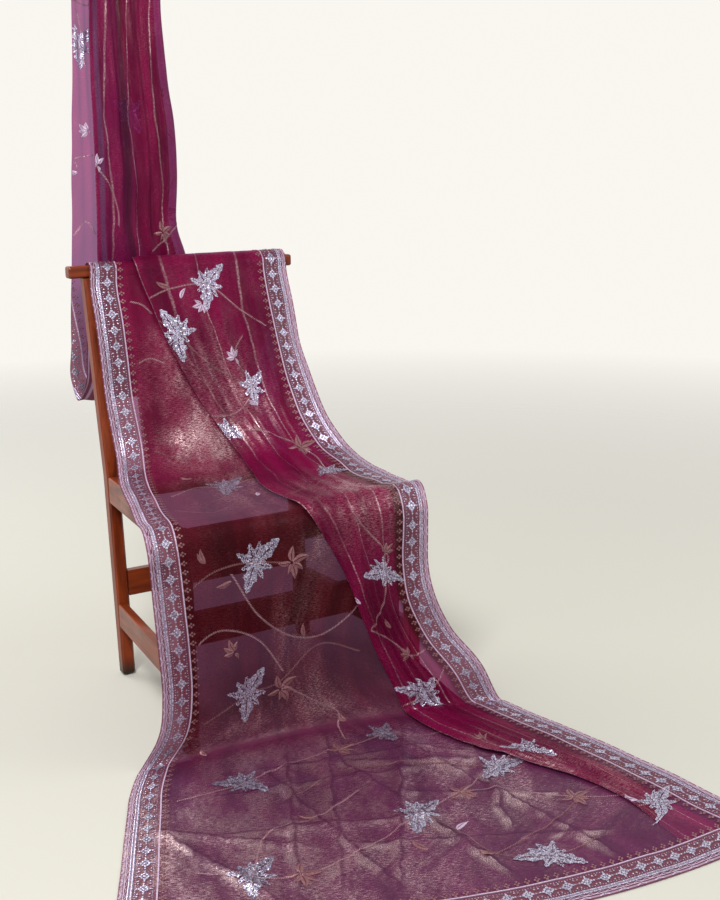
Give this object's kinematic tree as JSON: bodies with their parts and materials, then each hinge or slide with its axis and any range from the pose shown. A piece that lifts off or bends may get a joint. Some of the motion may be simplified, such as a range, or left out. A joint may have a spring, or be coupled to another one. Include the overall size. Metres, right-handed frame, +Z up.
{
  "type": "organza saree draped over a wooden chair and a hanging rod",
  "caption": "Embroidered magenta organza saree hung from a plain rod, draped over an open wooden chair frame and spread on the floor.",
  "frame": {"origin": "middle of the bounding box on the floor", "axes": "+Z up, -Y the way the chair faces and the cloth is spread, +X to the viewer's right when facing the chair"},
  "size_m": [1.089, 1.5034, 1.5577],
  "materials": {
    "organza": "sheer, silky",
    "border": "sheer with silver thread",
    "varnished_wood": "gloss varnish",
    "back_panel": "satin varnish",
    "rod_wood": "satin",
    "zinc_plate": "satin"
  },
  "bodies": {
    "root": {"front_leg_left": "varnished_wood", "back_post_left": "varnished_wood", "front_leg_right": "varnished_wood", "back_post_right": "varnished_wood", "top_rail": "varnished_wood", "back_stile_left": "varnished_wood", "back_stile_right": "varnished_wood", "back_panel": "back_panel", "seat_rail_front": "varnished_wood", "seat_rail_back": "varnished_wood", "stretcher_front": "varnished_wood", "stretcher_back": "varnished_wood", "seat_rail_left": "varnished_wood", "stretcher_left": "varnished_wood", "seat_rail_right": "varnished_wood", "stretcher_right": "varnished_wood", "bracket_front_left": "zinc_plate", "bracket_back_left": "zinc_plate", "bracket_front_right": "zinc_plate", "bracket_back_right": "zinc_plate", "hanging_rod": "rod_wood", "saree_floor": "organza", "border_right_floor": "border", "border_left_floor": "border", "saree_fall": "organza", "border_right_fall": "border", "border_left_fall": "border", "saree_seat": "organza", "border_right_seat": "border", "border_left_seat": "border", "saree_back": "organza", "border_right_back": "border", "border_left_back": "border", "saree_rail": "organza", "border_right_rail": "border", "border_left_rail": "border", "saree_swag": "organza", "border_right_swag": "border", "border_left_swag": "border", "saree_hanging": "organza", "border_right_hanging": "border", "border_left_hanging": "border", "saree_over_rod": "organza", "border_right_over_rod": "border", "saree_end": "organza", "border_end": "border", "border_left_end": "border", "border_right_end": "border"}
  },
  "joints": []
}
